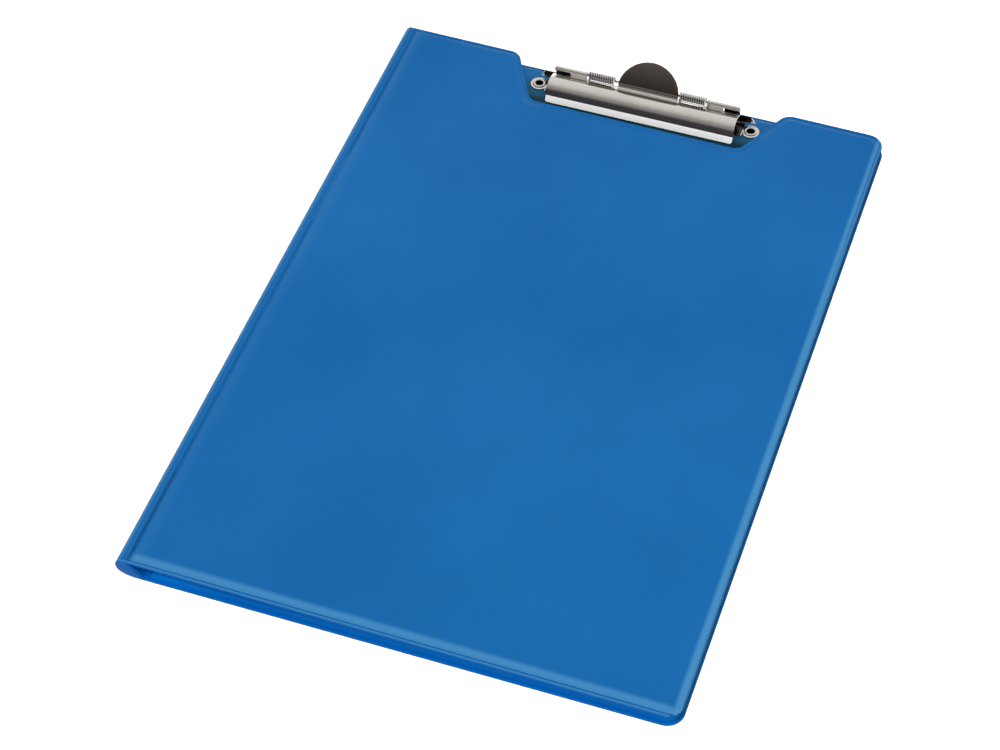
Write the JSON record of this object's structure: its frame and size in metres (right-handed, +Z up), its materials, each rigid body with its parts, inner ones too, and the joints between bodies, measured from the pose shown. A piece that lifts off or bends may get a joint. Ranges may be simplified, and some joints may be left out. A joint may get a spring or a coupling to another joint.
{
  "type": "clipboard folder",
  "caption": "Fold-over clipboard folder of welded blue vinyl over stiff boards, with a sprung steel clip seen through a notch in the front cover.",
  "frame": {"origin": "centre of the folder's plan, on the surface it lies on", "axes": "X across the folder from the fold (-X) to the free edge (+X), Y along it towards the clip, Z up"},
  "size_m": [0.236, 0.341, 0.0214],
  "materials": {
    "vinyl": "satin",
    "clear_pocket": "satin",
    "board": "matt",
    "plated_steel": "polished",
    "spring_wire": "polished"
  },
  "bodies": {
    "back_panel": {"back_outer_skin": "vinyl", "back_board": "board", "back_lining": "vinyl", "spine_fold": "vinyl", "clip_base": "plated_steel", "hinge_rod": "plated_steel", "left_spring": "spring_wire", "right_spring": "spring_wire", "left_eyelet": "plated_steel", "right_eyelet": "plated_steel"},
    "clip_jaw": {"clip_jaw": "plated_steel"},
    "front_cover": {"front_outer_skin": "vinyl", "front_board": "board", "front_lining": "vinyl", "inner_pocket": "clear_pocket"}
  },
  "joints": [
    {"name": "cover_fold", "type": "hinge", "parent": "back_panel", "child": "front_cover", "pos_m": [-0.1191, 0, 0.00437], "axis": [0, -1, 0], "range_deg": [0, 180.54], "deforming": ["spine_fold"]},
    {"name": "clip_press", "type": "hinge", "parent": "back_panel", "child": "clip_jaw", "pos_m": [0.0053, 0.1605, 0.0121], "axis": [-1, 0, 0], "range_deg": [0, 35], "stiffness_Nm_per_rad": 0.25, "springref_deg": -34.38, "deforming": ["left_spring", "right_spring"]}
  ]
}
